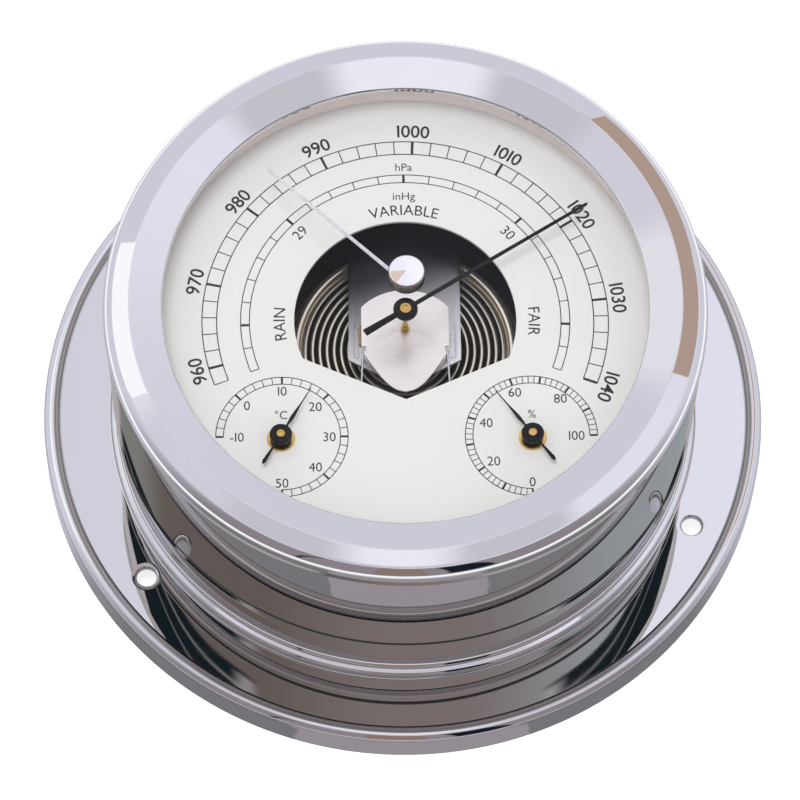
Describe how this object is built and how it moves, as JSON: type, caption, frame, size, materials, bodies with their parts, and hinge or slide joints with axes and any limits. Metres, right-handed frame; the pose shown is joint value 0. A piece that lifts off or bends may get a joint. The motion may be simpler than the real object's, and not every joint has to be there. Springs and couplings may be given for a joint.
{
  "type": "weather station",
  "caption": "Round bulkhead weather instrument: aneroid barometer with set hand, thermometer and hygrometer dials in a polished drum case on a screw-down flange.",
  "frame": {"origin": "centre of the flange's back edge, on the instrument's axis", "axes": "+Z out of the dial, +Y towards 12 o'clock, +X towards 3 o'clock; it lies on its back"},
  "size_m": [0.165, 0.165, 0.0763],
  "materials": {
    "case_chrome": "polished chrome plating",
    "bezel_chrome": "polished chrome plating",
    "cover_plastic": "matt black",
    "brass": "turned, lacquered",
    "capsule_bronze": "bright, corrugated",
    "base_black": "blackened",
    "bridge_steel": "brushed lengthwise",
    "shield_steel": "finely polished",
    "bright_steel": "bright",
    "spring_steel": "blued",
    "dial_enamel": "satin off-white with printed scales",
    "pointer_black": "satin black",
    "spacer_paint": "satin",
    "gasket_rubber": "matt",
    "crystal": "clear, domed",
    "bimetal": "rolled strip",
    "humidity_strip": "coated strip",
    "set_hand_silver": "bright, satin",
    "knob_chrome": "turned and plated, knurled"
  },
  "bodies": {
    "case": {"flange_case": "case_chrome", "drum_tube": "case_chrome", "rear_cover": "cover_plastic", "rear_cover_screws": "bright_steel", "cover_pillars": "brass", "base_plate": "base_black", "capsule_lower_shell": "capsule_bronze", "capsule_upper_shell": "capsule_bronze", "bridge_pillars": "bright_steel", "bridge_screws": "bright_steel", "bridge_plate": "bridge_steel", "bridge_pin": "brass", "rocker_bearings": "bright_steel", "arbor_lower_bush": "brass", "arbor_upper_bush": "brass", "hairspring": "spring_steel", "hairspring_stud": "brass", "shield_plate": "shield_steel", "shield_legs": "bright_steel", "shield_clip": "bright_steel", "clip_post": "brass", "dial_posts": "brass", "dial_plate": "dial_enamel", "spacer_ring": "spacer_paint", "glass_gasket": "gasket_rubber", "glass_dome": "crystal", "bezel_ring": "bezel_chrome", "spindle_bush": "bright_steel", "friction_washer": "brass", "thermometer_bush": "brass", "thermometer_nut": "brass", "thermometer_bracket": "bright_steel", "thermometer_coil": "bimetal", "hygrometer_bush": "brass", "hygrometer_nut": "brass", "hygrometer_bracket": "bright_steel", "hygrometer_coil": "humidity_strip"},
    "pressure_hand": {"pointer_arbor": "brass", "barometer_pointer": "pointer_black"},
    "sector": {"sector_gear": "brass", "sector_arbor": "bright_steel"},
    "rocker": {"rocker_shaft": "bright_steel"},
    "capsule_centre": {"capsule_boss": "brass"},
    "set_hand_unit": {"set_spindle": "bright_steel", "set_hand": "set_hand_silver", "set_knob": "knob_chrome"},
    "thermometer_hand": {"thermometer_arbor": "brass", "thermometer_pointer": "pointer_black"},
    "hygrometer_hand": {"hygrometer_arbor": "brass", "hygrometer_pointer": "pointer_black"},
    "calibrating_screw": {"adjusting_screw": "brass"}
  },
  "joints": [
    {"name": "pressure_hand_turn", "type": "hinge", "parent": "case", "child": "pressure_hand", "pos_m": [0, 0, 0.0572], "axis": [0, 0, -1], "range_deg": [-168.14, 53.66]},
    {"name": "sector_turn", "type": "hinge", "parent": "case", "child": "sector", "pos_m": [0, -0.0075, 0.0462], "axis": [0, 0, 1], "range_deg": [-25.89, 8.27]},
    {"name": "rocker_turn", "type": "hinge", "parent": "case", "child": "rocker", "pos_m": [0, -0.00687, 0.0402], "axis": [-1, 0, 0], "range_deg": [-8.98, 2.89]},
    {"name": "capsule_flex", "type": "slide", "parent": "case", "child": "capsule_centre", "axis": [0, 0, -1], "range_m": [-0.00107, 0.00034]},
    {"name": "set_hand_turn", "type": "hinge", "parent": "case", "child": "set_hand_unit", "pos_m": [0, 0, 0.0722], "axis": [0, 0, 1], "continuous": true},
    {"name": "thermometer_turn", "type": "hinge", "parent": "case", "child": "thermometer_hand", "pos_m": [-0.0275, -0.02918, 0.0545], "axis": [0, 0, -1], "range_deg": [-120.15, 149.85]},
    {"name": "hygrometer_turn", "type": "hinge", "parent": "case", "child": "hygrometer_hand", "pos_m": [0.0275, -0.02918, 0.0545], "axis": [0, 0, -1], "range_deg": [-143.1, 126.9]},
    {"name": "calibrating_screw_turn", "type": "hinge", "parent": "case", "child": "calibrating_screw", "pos_m": [0, 0, 0.024], "axis": [0, 0, 1], "range_deg": [-180, 180]}
  ],
  "couplings": [
    {"joint": "rocker_turn", "follows": "capsule_flex", "rad_per_m": 145.56},
    {"joint": "sector_turn", "follows": "capsule_flex", "rad_per_m": 421.36},
    {"joint": "pressure_hand_turn", "follows": "capsule_flex", "rad_per_m": 2738.8}
  ]
}
